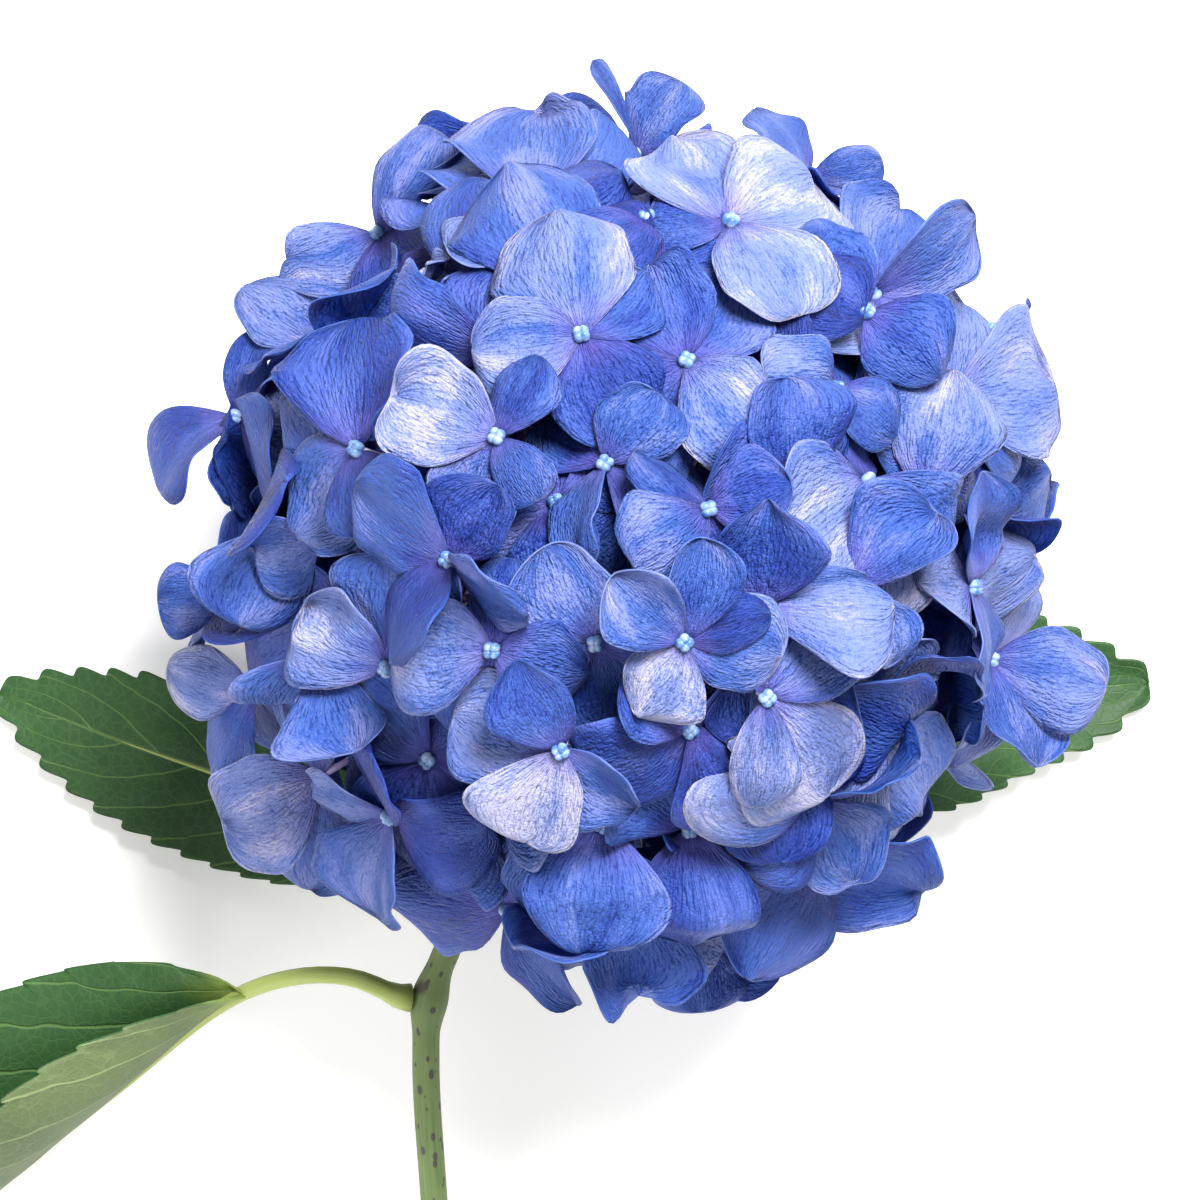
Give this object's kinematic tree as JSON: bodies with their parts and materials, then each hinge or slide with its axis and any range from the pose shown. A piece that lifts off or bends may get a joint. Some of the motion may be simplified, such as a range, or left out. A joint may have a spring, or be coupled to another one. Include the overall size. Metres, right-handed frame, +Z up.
{
  "type": "hydrangea stem",
  "caption": "Cut hydrangea stem lying on a surface: one round blue mophead bloom of many overlapping florets, a woody green stem and serrated leaves.",
  "frame": {"origin": "on the surface that the stem lies on, under the middle of the bloom, on the face that the bloom rests on", "axes": "+Z up, away from the surface; -Y along the stem, towards its cut end; +X to the right, as seen from above with the cut end towards the viewer"},
  "size_m": [0.327, 0.3697, 0.1662],
  "materials": {
    "sepals": "soft, slightly crinkled petals, blue to near-white lavender",
    "leaf": "satin leaf with paler veins and a pale underside",
    "stem": "green bark with small dark purple spots"
  },
  "bodies": {
    "root": {"stem": "stem", "flower_head": "sepals", "leaf_left": "leaf", "leaf_right": "leaf", "leaf_lower": "leaf", "leaf_small": "leaf"}
  },
  "joints": []
}
